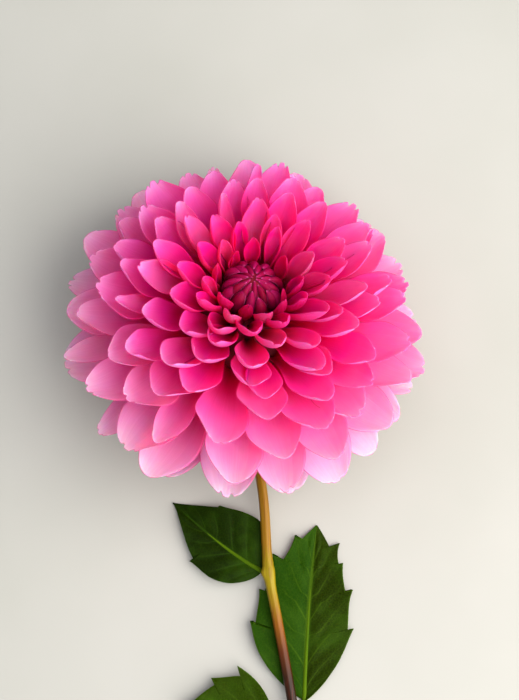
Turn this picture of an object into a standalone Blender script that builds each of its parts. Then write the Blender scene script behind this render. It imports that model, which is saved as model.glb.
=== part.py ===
"""Dahlia flower, cut and laid down on its back petals.

Ray petals round a closed heart, a green calyx, the stem and three leaves. The flower lies on
the plane z = 0 and faces up, its axis leaning towards +Y, and its stem runs towards -Y.

Run with: blender --background --python part.py
"""

import math
import random

import bmesh
import bpy
import numpy as np
from mathutils import Euler, Matrix, Vector

MM = 0.001  # all sizes below are in millimetres

# The head: its centre, and how far its axis leans from upright towards +Y and towards +X.
HEAD_CENTRE = Vector((2.5, 63.0, 42.0))
LEAN_Y = math.radians(19.5)
LEAN_X = math.radians(8.0)
SET_DOWN = Vector((-0.9, 0.1, 0.0))  # puts the middle of the outline over the origin

# Ray petals, numbered from the innermost (age 0) to the hindmost (age 1). A few young cups,
# with ages below 0, hug the heart inside them.
PETALS = 134
GOLDEN_ANGLE = math.radians(137.508)
SEED = 11
PETAL_THICKNESS = 0.8
YOUNG_CUPS = 8
UPPER_REACH = 0.055  # petals towards UPPER_SIDE are up to this share longer
UPPER_SIDE = math.radians(60.0)
AGES = (-0.06, 0.00, 0.10, 0.26, 0.52, 0.76, 0.90, 1.00)
TIP_RADIUS = (16, 20, 30, 45, 63, 76.5, 77, 70)
TIP_HEIGHT = (27, 33, 36, 35, 23, 0, -20, -34)
ROOT_RADIUS = (15.5, 16, 19, 28, 36, 35, 26, 13)
ROOT_HEIGHT = (13.5, 13, 14, 14, 6, -6, -13, -17.5)
WIDTH = (8, 14, 18, 21, 25, 28, 29, 29)
BEND = (-2, 0, 8, 14, 24, 30, 34, 40)  # degrees that a petal curves back
HOOK = (14, 24, 34, 42, 42, 34, 20, 6)  # degrees that its end curves in again
MID_ROLL = (50, 84, 84, 76, 64, 52, 40, 32)  # half the angle that its cross-section wraps
TIP_ROLL = (50, 80, 82, 78, 70, 58, 46, 36)
CLAW_HALF_WIDTH = (2.0, 2.0, 2.2, 2.4, 3.0, 4.0, 5.2, 6.5)
CLAW_ROLL = (50, 90, 95, 90, 80, 64, 50, 40)
FOLDED_SHARE = 0.09  # of the petals are slim and folded
FOLDED_WIDTH = 0.6
TRACE_STEPS = 40
INNER_SHARE = 0.8  # petals below this age have fewer cells across
PETAL_ROWS = (0.0, 0.45, 0.76, 1.0)
LAID_SHARE = 0.76  # the part of a petal that may not pass through the surface
PRESSED = 2.0  # but for this much, which is pressed flat

# The core that the petals grow from: radius and height, from its top to its back.
CORE_PROFILE = (
    (0, 14.2),
    (14, 14.2),
    (22, 17.5),
    (32, 14.5),
    (38.5, 5),
    (38, -6),
    (29, -14),
    (16, -18.6),
    (12, -19),
    (0, -19),
)
CORE_SIDES = 20

# The closed heart of the flower.
HEART_RADIUS = 11.9
HEART_BASE = 14.5
HEART_CENTRE = 15.0
HEART_SIDES = 20
HEART_STEPS = 7
HEART_FLORETS = 22
FLORET_THICKNESS = 2.2
FLORET_ROWS = (0.0, 0.35, 0.75, 1.0)
FLORET_TIP = (14.0, 44.0)  # how far from the top the innermost and the outermost ones end, degrees
FLORET_FOOT = 92.0
FLORET_HALF_WIDTH = 3.4
FLORET_LIFT = 1.3
FLORET_ROUND = 1.5

# The calyx: a cup under the core, with bracts pressed to the petals and leafy ones bent back.
CALYX_PROFILE = ((0, -19.3), (9.5, -19.3), (10.5, -21), (8, -25), (3.4, -28), (0, -28))
CALYX_SIDES = 20
INNER_BRACTS = 8
OUTER_BRACTS = 5
BRACT_THICKNESS = 0.8
BRACT_ROWS = (0.0, 0.4, 0.75, 1.0)
BRACT_CUP = 1.2
# Each kind of bract: where it starts and ends as (radius, height), its half width and its bow.
INNER_BRACT = ((8.5, -21.4), (19.0, -22.0), 3.6, -1.2)
OUTER_BRACT = ((7.6, -24.2), (19.0, -31.0), 3.2, 2.2)

# The stem: its route below the neck as (x, y, z), its radius, and its two nodes.
NECK_START = 28.3
NECK_STEPS = (0.0, 1.5, 4.5)  # the straight start of the neck
NECK_RADIUS = 2.7
STEM_ROUTE = (
    (1.5, 37.0, 7.8),
    (5.4, 16.0, 6.8),
    (9.8, -10.0, 6.6),
    (11.9, -40.0, 6.4),
    (16.0, -63.0, 6.0),
    (21.8, -95.0, 4.6),
    (23.6, -108.0, 3.9),
    (26.5, -136.0, 1.8),
)
STEM_RADIUS = 2.1
STEM_POINTS = 40
NODES_Y = (-41.0, -108.0)
NODE_SWELLING = 0.6
NODE_LENGTH = 4.5
TUBE_RESOLUTION = 1  # of a bevel: 8 sides

# The leaves. Each midrib is a curve through three points, with teeth at shares of its length.
LEAF_THICKNESS = 0.8
LEAF_CELLS = 4
RIB_RADIUS = 0.75
RIB_SHARE = 0.8
TOOTH_STEP = 0.02
TOOTH_RUN = 0.055  # the share of its length over which a leaf's margin swells out to a tooth
TOOTH_HOOK = 0.55  # how far a tooth's point bends forwards, as a share of its depth
LEAF_SWEEP = 0.12  # how far the sides of a leaf run ahead of its midrib
LEAF_TIP = 0.5
LEAVES = {
    "leaf_upper": {
        "petiole": (),
        "midrib": ((9.3, -41.0, 4.1), (-7.0, -32.5, 4.4), (-29.4, -11.2, 0.8)),
        "half_widths": (14.2, 18.0),
        "broad_at": (0.40, 0.30),
        "tip_powers": (1.25, 1.0),
        "base_powers": (0.62, 0.55),
        "teeth": (((0.57, 1.6),), ((0.68, 0.7),)),
    },
    "leaf_right": {
        "petiole": ((27.5, -109.0, 3.4), (27.4, -101.0, 2.4)),
        "midrib": ((27.0, -95.0, 1.6), (28.6, -56.0, 2.2), (33.0, -21.0, 0.8)),
        "half_widths": (22.4, 17.0),
        "broad_at": (0.32, 0.36),
        "tip_powers": (0.95, 0.85),
        "base_powers": (0.75, 0.75),
        "teeth": (
            ((0.355, 2.4), (0.54, 2.2), (0.735, 4.4), (0.885, 2.8)),
            ((0.36, 2.6), (0.58, 3.0), (0.75, 1.8), (0.86, 4.0)),
        ),
    },
    "leaf_left": {
        "petiole": ((20.6, -108.2, 3.8),),
        "midrib": ((15.0, -107.6, 3.6), (-6.0, -99.0, 4.2), (-36.0, -124.0, 0.8)),
        "half_widths": (18.5, 20.5),
        "broad_at": (0.42, 0.27),
        "tip_powers": (0.9, 1.5),
        "base_powers": (0.8, 1.0),
        "teeth": (((0.40, 2.5), (0.60, 2.5), (0.80, 2.5)), ((0.25, 4.4), (0.41, 2.8), (0.62, 2.5))),
    },
}


def clear_scene():
    """Remove whatever the file opened with."""
    for obj in list(bpy.data.objects):
        bpy.data.objects.remove(obj)


def new_collection(name):
    """A collection linked to the scene."""
    made = bpy.data.collections.new(name)
    bpy.context.scene.collection.children.link(made)
    return made


def plain_material(name, colour, roughness):
    """A Principled material of one linear colour."""
    material = bpy.data.materials.new(name)
    material.use_nodes = True
    shader = material.node_tree.nodes["Principled BSDF"]
    shader.inputs["Base Color"].default_value = (*colour, 1.0)
    shader.inputs["Roughness"].default_value = roughness
    return material


def new_object(name, mesh, collection, material=None):
    """An object for a mesh, in a collection."""
    obj = bpy.data.objects.new(name, mesh)
    collection.objects.link(obj)
    if material:
        mesh.materials.append(material)
    return obj


def smooth_step(low, high, x):
    """0 below low, 1 above high, and an easy curve between."""
    q = np.clip((x - low) / (high - low), 0.0, 1.0)
    return q * q * (3.0 - 2.0 * q)


def by_age(age, values):
    """The value at an age, between those listed at AGES."""
    return float(np.interp(age, AGES, values))


HEAD_TURN = Euler((-LEAN_Y, LEAN_X, 0.0), "XYZ").to_matrix()


def head_to_world(points):
    """Head coordinates in millimetres, axis +Z, to the flower as it lies."""
    return points @ np.array(HEAD_TURN).T + np.array(HEAD_CENTRE)


def turned(points, azimuth):
    """Points turned about the head's axis."""
    cos, sin = math.cos(azimuth), math.sin(azimuth)
    x, y, z = points[..., 0], points[..., 1], points[..., 2]
    return np.stack([x * cos - y * sin, x * sin + y * cos, z], -1)


def midline(age, azimuth, draw):
    """A petal's midline: share of length, angle from the axis, radius, height and length."""
    share = np.linspace(0.0, 1.0, TRACE_STEPS)
    bend = math.radians(by_age(age, BEND) + draw["bend"])
    hook = math.radians(by_age(age, HOOK))
    angle = bend * smooth_step(0.05, 0.80, share) - hook * smooth_step(0.55, 1.0, share)
    between = (angle[1:] + angle[:-1]) / 2.0
    chord_r, chord_z = np.sin(between).mean(), np.cos(between).mean()
    root_r, root_z = by_age(age, ROOT_RADIUS), by_age(age, ROOT_HEIGHT)
    reach = draw["reach"] * (1.0 + UPPER_REACH * max(math.cos(azimuth - UPPER_SIDE), 0.0))
    reach_r = (by_age(age, TIP_RADIUS) - root_r) * reach
    reach_z = (by_age(age, TIP_HEIGHT) - root_z) * reach
    length = math.hypot(reach_r, reach_z) / math.hypot(chord_r, chord_z)
    lean = math.atan2(reach_r, reach_z) - math.atan2(chord_r, chord_z)
    laid = int(LAID_SHARE * (TRACE_STEPS - 1))
    while True:
        # A petal that would pass through the surface swings outwards until it lies on it.
        steps = length / (TRACE_STEPS - 1)
        radius = root_r + np.append(0.0, np.cumsum(np.sin(between + lean))) * steps
        height = root_z + np.append(0.0, np.cumsum(np.cos(between + lean))) * steps
        line = np.stack([radius, 0.0 * radius, height], -1)
        if head_to_world(turned(line, azimuth))[laid, 2] >= -PRESSED:
            return share, angle + lean, radius, height, length
        lean -= math.radians(1.0)


def petal_draw(number):
    """The seeded differences of one petal from its neighbours."""
    rng = random.Random(SEED * 1000 + number)
    return {
        "azimuth": math.radians(rng.uniform(-7.0, 7.0)),
        "reach": rng.uniform(0.93, 1.055),
        "width": rng.uniform(0.84, 1.1),
        "bend": rng.uniform(-9.0, 9.0),
        "twist": math.radians(rng.uniform(-16.0, 16.0)),
        "sway": rng.uniform(-0.07, 0.07),
        "point": rng.uniform(0.12, 0.19),
        "folded": rng.random() < FOLDED_SHARE,
    }


def petal_surface(age, azimuth, draw, u, v):
    """The back of a petal at u across (-1 to 1) and v along (0 to 1), in head coordinates."""
    share, angles, radii, heights, length = midline(age, azimuth, draw)
    along = v * (1.0 - draw["point"] * u**2)
    radius = np.interp(along, share, radii)
    height = np.interp(along, share, heights)
    angle = np.interp(along, share, angles)
    full = by_age(age, WIDTH) * draw["width"] * (FOLDED_WIDTH if draw["folded"] else 1.0) / 2.0
    narrowing = np.sqrt(1.0 - 0.55 * np.clip((v - 0.66) / 0.34, 0.0, 1.0) ** 2)
    claw = by_age(age, CLAW_HALF_WIDTH)
    half = (claw + (full - claw) * smooth_step(0.0, 0.62, v)) * narrowing
    rolls = (by_age(age, CLAW_ROLL), by_age(age, MID_ROLL), by_age(age, TIP_ROLL))
    roll = np.radians(np.interp(v, (0.0, 0.6, 1.0), rolls))
    across = half / roll * np.sin(roll * u)
    raised = half / roll * (1.0 - np.cos(roll * u))
    twist = draw["twist"] * v**1.5
    side = across * np.cos(twist) - raised * np.sin(twist) + draw["sway"] * length * v**2
    up = across * np.sin(twist) + raised * np.cos(twist)
    return np.stack([radius - np.cos(angle) * up, side, height + np.sin(angle) * up], -1)


def laid_petal(number):
    """A function from (u, v) to the back of a petal as it lies, pressed flat at z = 0."""
    age = number / (PETALS - 1)
    draw = petal_draw(number)
    azimuth = number * GOLDEN_ANGLE + draw["azimuth"]

    def shape(u, v):
        points = head_to_world(turned(petal_surface(age, azimuth, draw, u, v), azimuth))
        points[..., 2] = np.maximum(points[..., 2], 0.0)
        return points

    return shape


def blade_mesh(name, across, rows, shape):
    """A grid bent by shape(u, v), with rows at the given shares, split into triangles."""
    bm = bmesh.new()
    bmesh.ops.create_grid(bm, x_segments=across, y_segments=len(rows) - 1, size=1.0)
    u = np.array([vert.co.x for vert in bm.verts])
    row = np.array([(vert.co.y + 1.0) / 2.0 for vert in bm.verts]) * (len(rows) - 1)
    points = shape(u, np.interp(row, range(len(rows)), rows))
    for vert, point in zip(bm.verts, points):
        vert.co = Vector(point) * MM
    bmesh.ops.triangulate(bm, faces=bm.faces)
    mesh = bpy.data.meshes.new(name)
    bm.to_mesh(mesh)
    bm.free()
    return mesh


def add_blade(name, across, rows, shape, thickness, collection):
    """A blade thickened away from the side that its grid faces."""
    obj = new_object(name, blade_mesh(name, across, rows, shape), collection)
    solid = obj.modifiers.new("thickness", "SOLIDIFY")
    solid.thickness = thickness * MM
    solid.offset = -1.0
    return obj


def turned_solid(name, profile, sides, collection):
    """A closed solid turned about the head's axis, placed as the head lies."""
    bm = bmesh.new()
    verts = [bm.verts.new((r * MM, 0.0, z * MM)) for r, z in profile]
    edges = [bm.edges.new(pair) for pair in zip(verts, verts[1:])]
    bmesh.ops.spin(
        bm,
        geom=verts + edges,
        axis=(0.0, 0.0, 1.0),
        cent=(0.0, 0.0, 0.0),
        angle=math.tau,
        steps=sides,
        use_merge=True,
    )
    bmesh.ops.remove_doubles(bm, verts=bm.verts, dist=0.01 * MM)
    bmesh.ops.recalc_face_normals(bm, faces=bm.faces)
    mesh = bpy.data.meshes.new(name)
    bm.to_mesh(mesh)
    bm.free()
    mesh.transform(HEAD_TURN.to_4x4())
    mesh.transform(Matrix.Translation(HEAD_CENTRE * MM))
    return new_object(name, mesh, collection)


def settle_mesh(obj):
    """Replace an object's data by its evaluated mesh, welded, with no modifiers left."""
    bpy.context.view_layer.update()
    graph = bpy.context.evaluated_depsgraph_get()
    mesh = bpy.data.meshes.new_from_object(obj.evaluated_get(graph))
    bm = bmesh.new()
    bm.from_mesh(mesh)
    bmesh.ops.remove_doubles(bm, verts=bm.verts, dist=0.005 * MM)
    bm.to_mesh(mesh)
    bm.free()
    obj.modifiers.clear()
    obj.data = mesh
    return obj


def islands(bm):
    """The separate closed surfaces of a mesh, as lists of faces."""
    found, seen = [], set()
    for start in bm.faces:
        if start in seen:
            continue
        seen.add(start)
        island, waiting = [start], [start]
        while waiting:
            for edge in waiting.pop().edges:
                reached = [face for face in edge.link_faces if face not in seen]
                seen.update(reached)
                island.extend(reached)
                waiting.extend(reached)
        found.append(island)
    return found


def keep_body(obj):
    """Keep the largest surface: this fills any sealed hollow and drops loose scraps."""
    bm = bmesh.new()
    bm.from_mesh(obj.data)
    found = sorted(islands(bm), key=len)
    for island in found[:-1]:
        bmesh.ops.delete(bm, geom=island, context="FACES")
    bm.to_mesh(obj.data)
    bm.free()


def fuse(body, collection):
    """Join a collection's solids to a body, and remove them."""
    union = body.modifiers.new("union", "BOOLEAN")
    union.operation = "UNION"
    union.operand_type = "COLLECTION"
    union.collection = collection
    union.solver = "MANIFOLD"
    settle_mesh(body)
    keep_body(body)
    for obj in list(collection.objects):
        bpy.data.objects.remove(obj)
    bpy.data.collections.remove(collection)
    body.data.shade_smooth()
    body.data.set_sharp_from_angle(angle=math.radians(40.0))
    return body


def build_bloom(parts, material):
    """All the ray petals, fused to the core that they grow from."""
    petals = new_collection("petals")
    for number in range(-YOUNG_CUPS, PETALS):
        across = 2 if number < PETALS * INNER_SHARE else 3
        shape = laid_petal(number)
        add_blade(f"petal_{number}", across, PETAL_ROWS, shape, PETAL_THICKNESS, petals)
    body = turned_solid("bloom", CORE_PROFILE, CORE_SIDES, parts)
    body.data.materials.append(material)
    return fuse(body, petals)


def floret_shape(number):
    """A function from (u, v) to the outer face of a closed floret, hugging the heart's dome."""
    rng = random.Random(SEED * 2000 + number)
    age = number / (HEART_FLORETS - 1)
    azimuth = number * GOLDEN_ANGLE + math.radians(rng.uniform(-5.0, 5.0))
    tip = math.radians(FLORET_TIP[0] + (FLORET_TIP[1] - FLORET_TIP[0]) * age)
    foot = math.radians(FLORET_FOOT)
    lift = FLORET_LIFT * (0.4 + 0.6 * age)
    half = FLORET_HALF_WIDTH * rng.uniform(0.9, 1.1)

    def shape(u, v):
        polar = foot + (tip - foot) * v
        width = half * (0.75 + 0.25 * smooth_step(0.0, 0.3, v)) * np.sqrt(1.0 - 0.9 * v**2.6)
        side = u * width
        out = HEART_RADIUS + lift * np.sin(math.pi * (0.15 + 0.75 * v)) - FLORET_ROUND * u**2
        radius = out * np.sin(polar)
        height = HEART_CENTRE + out * np.cos(polar)
        local = np.stack([radius, side, height], -1)
        return head_to_world(turned(local, azimuth))

    return shape


def dome_profile(radius, centre, base, steps):
    """A round dome's profile above a flat base, from its top down."""
    lowest = math.acos((base - centre) / radius)
    turns = [lowest * step / steps for step in range(steps + 1)]
    arc = [(radius * math.sin(turn), centre + radius * math.cos(turn)) for turn in turns]
    return [*arc, (0.0, base)]


def build_heart(parts, material):
    """The closed heart: a dome with its unopened florets fused over it."""
    florets = new_collection("florets")
    for number in range(HEART_FLORETS):
        shape = floret_shape(number)
        add_blade(f"floret_{number}", 2, FLORET_ROWS, shape, FLORET_THICKNESS, florets)
    profile = dome_profile(HEART_RADIUS, HEART_CENTRE, HEART_BASE, HEART_STEPS)
    body = turned_solid("heart", profile, HEART_SIDES, parts)
    body.data.materials.append(material)
    return fuse(body, florets)


def bract_shape(azimuth, start, end, half, curl):
    """A function from (u, v) to the outer face of a bract from start to end, as (radius, height)."""

    def shape(u, v):
        radius = start[0] + (end[0] - start[0]) * v
        height = start[1] + (end[1] - start[1]) * v + curl * np.sin(math.pi * v)
        width = half * (0.55 + 0.45 * smooth_step(0.0, 0.4, v)) * np.sqrt(1.0 - 0.9 * v**2.4)
        raised = BRACT_CUP * (u * width / half) ** 2
        local = np.stack([radius, u * width, height + raised], -1)
        return head_to_world(turned(local, azimuth))

    return shape


def build_calyx(parts, material):
    """The cup under the head, with bracts pressed to the petals and leafy ones bent back."""
    bracts = new_collection("bracts")
    for number in range(INNER_BRACTS):
        azimuth = math.tau * number / INNER_BRACTS
        shape = bract_shape(azimuth, *INNER_BRACT)
        add_blade(f"inner_{number}", 2, BRACT_ROWS, shape, BRACT_THICKNESS, bracts)
    for number in range(OUTER_BRACTS):
        azimuth = math.tau * (number + 0.4) / OUTER_BRACTS
        shape = bract_shape(azimuth, *OUTER_BRACT)
        add_blade(f"outer_{number}", 2, BRACT_ROWS, shape, BRACT_THICKNESS, bracts)
    body = turned_solid("calyx", CALYX_PROFILE, CALYX_SIDES, parts)
    body.data.materials.append(material)
    return fuse(body, bracts)


def smooth_route(points, count):
    """Points spaced along a smooth curve through the given ones."""
    knots = [points[0] * 2 - points[1], *points, points[-1] * 2 - points[-2]]
    route = []
    for step in range(count):
        place = (len(points) - 1) * step / (count - 1)
        first = min(int(place), len(points) - 2)
        t = place - first
        a, b, c, d = knots[first : first + 4]
        bend = a * 2 - b * 5 + c * 4 - d
        turn = b * 3 - c * 3 + d - a
        route.append(b + ((c - a) * t + bend * t**2 + turn * t**3) / 2)
    return route


def add_tube(name, route, radii, collection):
    """A closed tube along a route, as a welded mesh."""
    curve = bpy.data.curves.new(name, "CURVE")
    curve.dimensions = "3D"
    curve.bevel_depth = MM
    curve.bevel_resolution = TUBE_RESOLUTION
    curve.use_fill_caps = True
    spline = curve.splines.new("POLY")
    spline.points.add(len(route) - 1)
    for point, place, radius in zip(spline.points, route, radii):
        point.co = (*(place * MM), 1.0)
        point.radius = radius
    obj = new_object(f"{name}_curve", curve, collection)
    bpy.context.view_layer.update()
    mesh = bpy.data.meshes.new_from_object(obj.evaluated_get(bpy.context.evaluated_depsgraph_get()))
    bpy.data.objects.remove(obj)
    bm = bmesh.new()
    bm.from_mesh(mesh)
    bmesh.ops.remove_doubles(bm, verts=bm.verts, dist=0.005 * MM)
    bmesh.ops.recalc_face_normals(bm, faces=bm.faces)
    for vert in bm.verts:
        vert.co.z = max(vert.co.z, 0.0)
    bm.to_mesh(mesh)
    bm.free()
    mesh.shade_smooth()
    mesh.set_sharp_from_angle(angle=math.radians(50.0))
    return new_object(name, mesh, collection)


def stem_radius(share, y):
    """The stem's radius: wider at the neck, swollen at its nodes."""
    neck = (NECK_RADIUS - STEM_RADIUS) * (1.0 - smooth_step(0.0, 0.12, share))
    swelling = sum(NODE_SWELLING * math.exp(-(((y - node) / NODE_LENGTH) ** 2)) for node in NODES_Y)
    return float(STEM_RADIUS + neck + swelling)


def build_stem(parts, material):
    """The stem, bent at the neck and lying towards its cut end."""
    neck = [Vector(head_to_world(np.array([0.0, 0.0, -NECK_START - d]))) for d in NECK_STEPS]
    route = smooth_route([*neck, *map(Vector, STEM_ROUTE)], STEM_POINTS)
    radii = [stem_radius(step / (STEM_POINTS - 1), place.y) for step, place in enumerate(route)]
    stem = add_tube("stem", route, radii, parts)
    stem.data.materials.append(material)


def leaf_margin(leaf, side, v):
    """How far a leaf's margin stands from its midrib on one side, and how much its teeth add."""
    broad = leaf["broad_at"][side]
    rising = np.sin(math.pi / 2 * np.clip(v / broad, 0.0, 1.0)) ** leaf["base_powers"][side]
    ahead = np.clip((v - broad) / (1.0 - broad), 0.0, 1.0)
    falling = np.cos(math.pi / 2 * ahead) ** leaf["tip_powers"][side]
    toothed = 0.0 * v
    for tooth, depth in leaf["teeth"][side]:
        before = tooth - v
        toothed = toothed + (before > -0.001) * depth * np.exp(-np.maximum(before, 0.0) / TOOTH_RUN)
    return np.maximum(leaf["half_widths"][side] * rising * falling, LEAF_TIP), toothed


def bezier(points, t):
    """A point on the curve that leaves the first point, bends towards the second, ends at the third."""
    a, b, c = (np.array(point) for point in points)
    t = np.asarray(t)[..., None]
    return a * (1 - t) ** 2 + b * 2 * t * (1 - t) + c * t**2


def leaf_shape(leaf):
    """A function from (u, v) to the upper face of a leaf."""
    points = leaf["midrib"]

    def shape(u, v):
        spine = bezier(points, v)
        ahead = bezier(points, v + 0.01) - bezier(points, v - 0.01)
        ahead[..., 2] = 0.0
        ahead /= np.linalg.norm(ahead, axis=-1, keepdims=True)
        right = np.stack([ahead[..., 1], -ahead[..., 0], 0.0 * u], -1)
        margins = [np.stack(leaf_margin(leaf, side, v)) for side in (0, 1)]
        margin, toothed = np.where(u < 0.0, margins[0], margins[1])
        toothed = toothed * (np.abs(u) > 0.9)
        out = u * margin + np.sign(u) * toothed
        swept = LEAF_SWEEP * np.abs(out) + TOOTH_HOOK * toothed
        spread = spine + right * out[..., None] + ahead * swept[..., None]
        spread[..., 2] = np.maximum(spread[..., 2], LEAF_THICKNESS)
        return spread

    return shape


def build_leaf(name, leaf, parts, material):
    """A leaf: its blade, fused with its midrib and petiole."""
    teeth = {tooth for side in leaf["teeth"] for tooth, _ in side}
    rows = sorted({0.0, 0.08, 0.22, *teeth, *(tooth + TOOTH_STEP for tooth in teeth), 1.0})
    blades = new_collection("blades")
    add_blade(f"{name}_blade", LEAF_CELLS, rows, leaf_shape(leaf), LEAF_THICKNESS, blades)
    rib = [Vector(point) for point in leaf["petiole"]]
    shares = np.linspace(0.0, RIB_SHARE, 7)
    rib += [Vector(point) for point in bezier(leaf["midrib"], shares)]
    radii = np.linspace(RIB_RADIUS * 1.6, RIB_RADIUS * 0.7, len(rib))
    body = add_tube(name, rib, radii, parts)
    body.data.materials.append(material)
    fuse(body, blades)


def main():
    """Build the whole flower."""
    clear_scene()
    parts = new_collection("dahlia_flower")
    pink = plain_material("pink_petal", (0.80, 0.10, 0.32), 0.55)
    magenta = plain_material("magenta_floret", (0.38, 0.01, 0.08), 0.55)
    green = plain_material("green_bract", (0.16, 0.22, 0.03), 0.6)
    brown = plain_material("brown_green_stem", (0.30, 0.16, 0.02), 0.5)
    leaf_green = plain_material("leaf_green", (0.03, 0.07, 0.005), 0.45)
    build_bloom(parts, pink)
    build_heart(parts, magenta)
    build_calyx(parts, green)
    build_stem(parts, brown)
    for name, leaf in LEAVES.items():
        build_leaf(name, leaf, parts, leaf_green)
    for obj in parts.objects:
        obj.location = SET_DOWN * MM


main()
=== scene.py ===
"""Looks of a cut dahlia that lies face up on its back petals.

Fine petals, closed heart florets, bracts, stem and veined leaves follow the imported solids.
"""

import math
import random

import bpy
import numpy as np
from mathutils import Euler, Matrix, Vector


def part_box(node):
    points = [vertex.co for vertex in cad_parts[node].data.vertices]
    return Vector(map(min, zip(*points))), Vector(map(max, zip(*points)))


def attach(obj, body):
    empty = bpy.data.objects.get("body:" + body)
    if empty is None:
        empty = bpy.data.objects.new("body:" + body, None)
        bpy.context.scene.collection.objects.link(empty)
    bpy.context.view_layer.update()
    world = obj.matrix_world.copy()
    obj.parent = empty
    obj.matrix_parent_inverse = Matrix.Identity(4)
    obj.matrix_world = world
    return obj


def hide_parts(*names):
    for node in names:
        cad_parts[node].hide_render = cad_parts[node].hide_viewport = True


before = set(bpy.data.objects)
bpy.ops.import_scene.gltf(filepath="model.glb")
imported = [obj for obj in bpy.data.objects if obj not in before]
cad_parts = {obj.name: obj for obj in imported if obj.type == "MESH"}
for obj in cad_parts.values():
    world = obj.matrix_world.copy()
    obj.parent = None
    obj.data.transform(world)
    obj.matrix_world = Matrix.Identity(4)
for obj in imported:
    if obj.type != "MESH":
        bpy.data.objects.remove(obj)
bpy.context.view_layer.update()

MM = 0.001  # sizes below are in millimetres

# The head: where its centre is and how far its axis leans towards +Y and towards +X.
HEAD_CENTRE = np.array((1.6, 63.1, 42.0))
LEAN_Y = math.radians(19.5)
LEAN_X = math.radians(8.0)
HEAD_TURN = np.array(Euler((-LEAN_Y, LEAN_X, 0.0), "XYZ").to_matrix())

# Ray petals, from the innermost (age 0) to the hindmost (age 1).
PETALS = 134
GOLDEN_ANGLE = math.radians(137.508)
SEED = 11
UPPER_REACH = 0.052  # petals on the upper right reach this much further
UPPER_SIDE = math.radians(60.0)
YOUNG_CUPS = 8  # small cups that hug the heart, inside the first of the others
# The lists hold a value for each of these ages. Radii and heights are from the head's own axis
# and centre; bends, hooks, rolls and arcs are in degrees.
AGES = (-0.06, 0.00, 0.10, 0.26, 0.52, 0.76, 0.90, 1.00)
TIP_RADIUS = (12.5, 19.5, 30, 45, 63, 76.5, 77, 70)
TIP_HEIGHT = (28.5, 32.5, 35.7, 34.8, 23, 0, -20, -34)
ROOT_RADIUS = (11.5, 12.5, 14, 17, 24, 28, 24, 13)
ROOT_HEIGHT = (7, 11, 11, 8, 1, -8, -13, -17.5)
WIDTH = (7, 12.5, 18, 21, 25, 28, 29, 29)
BEND = (-16, -3, 8, 14, 24, 30, 34, 40)
HOOK = (30, 30, 34, 42, 42, 34, 20, 6)
MID_ROLL = (60, 100, 98, 80, 57, 41, 33, 28)
TIP_ROLL = (44, 78, 86, 80, 69, 54, 42, 33)
CLAW_HALF_WIDTH = (1.6, 2.0, 2.4, 3.4, 4.4, 5.0, 5.5, 6.5)
CLAW_ROLL = (150, 165, 145, 92, 72, 60, 50, 40)
TIP_ARC = (84, 76, 68, 64, 62, 62, 62, 62)  # degrees of the ellipse by which the outline closes
TRACE_STEPS = 40
BEND_SPAN = (0.05, 0.80)  # the shares of its length between which a petal bends outwards
HOOK_SPAN = (0.55, 1.0)  # and those between which its tip hooks back towards the axis
ROLL_PLACES = (0.0, 0.6, 1.0)  # where along a petal its three rolls hold
BROAD_AT = 0.6  # where a petal is broadest, and its outline starts to close as an ellipse
SPREAD_SHARE = 0.62  # the share of its length over which a petal widens from its claw
SLIM_SHARE = 0.14  # a hind petal stays slim for this much more of its length
FLARE_WIDTH = 0.75  # the share of the half width beyond which a margin flares back
FLARE_SPAN = (0.35, 0.7)  # the shares of its length between which the flare sets in
WAVE_SPAN = (0.3, 0.8)
CREASE_DEPTH = 0.12
CREASE_WIDTH = 0.12
CREASE_SPAN = (0.2, 0.6)
TIP_POINT_WIDTH = 0.2
TIP_POINT_SHARE = 0.12
TIP_NOTCH_PLACES = (-0.34, 0.34)  # the notches that part the three teeth of a tip
TIP_NOTCH_WIDTH = 0.11
TIP_NOTCH_DEPTH = 0.045
FOLDED_SHARE = 0.09  # of the petals are slim and folded
FOLDED_WIDTH = 0.6
FOLDED_ROLL = 1.35
LAID_SHARE = 0.76  # a petal that comes down to the floor touches it this far along
PRESSED = 2.0  # and the floor presses it up by at most this much there
LAYER_STEP = 3.0  # a younger petal that is pressed on the floor lies up to this much higher
PETAL_THICKNESS = 0.28
PETAL_CELLS = (20, 26)
MARGIN_CROWDING = 0.9  # below 1, cells are smaller towards the margins
TIP_CROWDING = 1.15  # above 1, cells are smaller towards the tip
RING_LIMITS = (-1.0, 0.3, 0.62, 1.01)
RING_NAMES = ("petals_inner", "petals_middle", "petals_hind")

# The receptacle between the petal roots, as (radius, height).
CORE_PROFILE = (
    (0, 10),
    (12, 10),
    (18, 7),
    (25, 0),
    (29, -8),
    (24, -15),
    (16, -18.6),
    (12, -19),
    (0, -19),
)

# The closed heart.
HEART_RADIUS = 11.9
HEART_BASE = 14.5
HEART_CENTRE = 15.0
HEART_FLORETS = 28
FLORET_CELLS = (10, 18)
FLORET_THICKNESS = 0.5
FLORET_ROUNDING = 2.3  # how far a floret's margins lie below its midline
# The innermost floret's value, and how much more the outermost one has.
FLORET_TIP = (3.0, 42.0)  # degrees from the heart's axis
FLORET_FOOT = (52.0, 44.0)
FLORET_LIFT = (0.2, 2.8)
FLORET_HALF = (1.9, 1.5)
FLORET_HOOD = 1.2  # how far the outermost tips bow inwards
# Along a floret from foot to tip; the near-black foot is painted shade where it lies under the others.
FLORET_COLOURS = (
    (0.0, "#1c0008"),
    (0.3, "#5c0022"),
    (0.65, "#8e0030"),
    (0.9, "#9a0848"),
    (1.0, "#b81c68"),
)
DOME_GAP = 0.6  # how far the dome lies under the florets
DOME_CELLS = (40, 12)
TURNED_SIDES = 48  # round the receptacle and the calyx cup
WELD_GAP = 0.003  # points of a wrapped grid that are closer than this become one

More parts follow.
